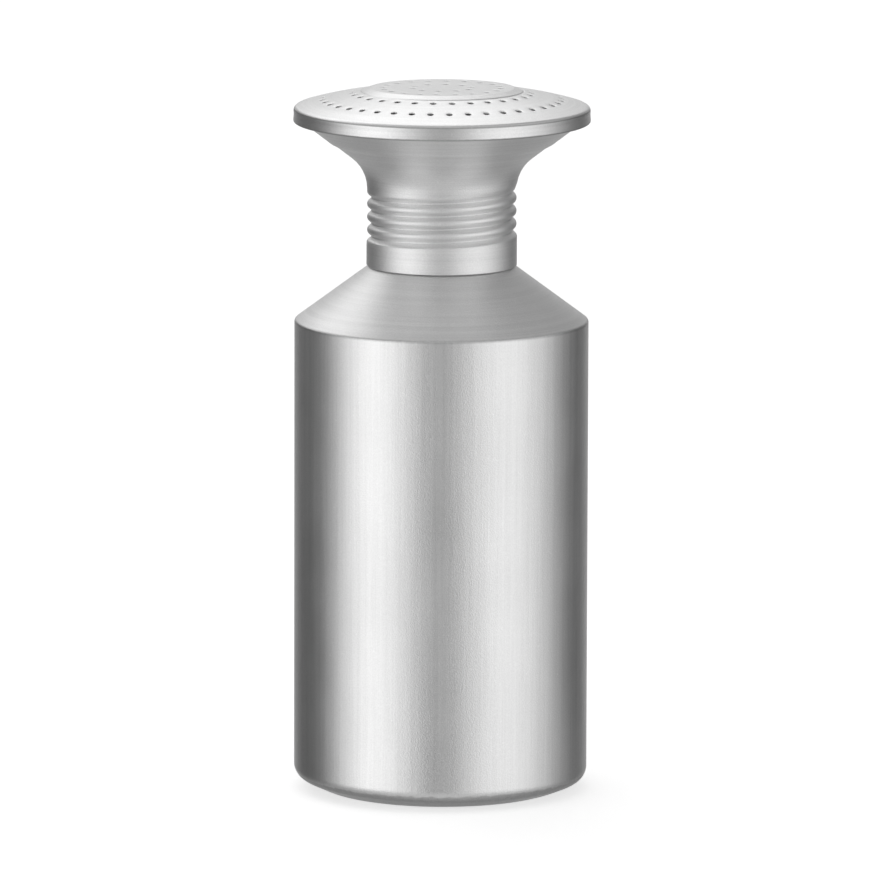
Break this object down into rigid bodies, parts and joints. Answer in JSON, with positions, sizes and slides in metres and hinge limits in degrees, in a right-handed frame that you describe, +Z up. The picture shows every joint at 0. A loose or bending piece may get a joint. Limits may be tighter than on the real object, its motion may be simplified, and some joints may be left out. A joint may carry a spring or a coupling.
{
  "type": "spice shaker",
  "caption": "Round aluminium shaker for spice or flour: a straight canister with a cone shoulder and a screw-on cap, whose trumpet-shaped throat carries a perforated top.",
  "frame": {"origin": "centre of the ring that the canister stands on, at the height of the surface", "axes": "+Z up along the shaker's axis, -Y towards the viewer"},
  "size_m": [0.0808, 0.0808, 0.193],
  "materials": {
    "drawn_aluminium": "satin, fine lines along the wall",
    "spun_aluminium": "satin, fine lines round the axis",
    "pressed_aluminium": "satin, pale"
  },
  "bodies": {
    "canister": {"canister": "drawn_aluminium"},
    "cap_lift": {"sprinkler_plate": "pressed_aluminium"},
    "cap_screw": {"cap_funnel": "spun_aluminium"}
  },
  "joints": [
    {"name": "cap_rise", "type": "slide", "parent": "canister", "child": "cap_lift", "axis": [0, 0, 1], "range_m": [0, 0.02841]},
    {"name": "cap_turn", "type": "hinge", "parent": "cap_lift", "child": "cap_screw", "pos_m": [0, 0, 0.155], "axis": [0, 0, 1], "range_deg": [0, 2880]}
  ],
  "couplings": [
    {"joint": "cap_rise", "follows": "cap_turn", "m_per_rad": 0.000565}
  ]
}
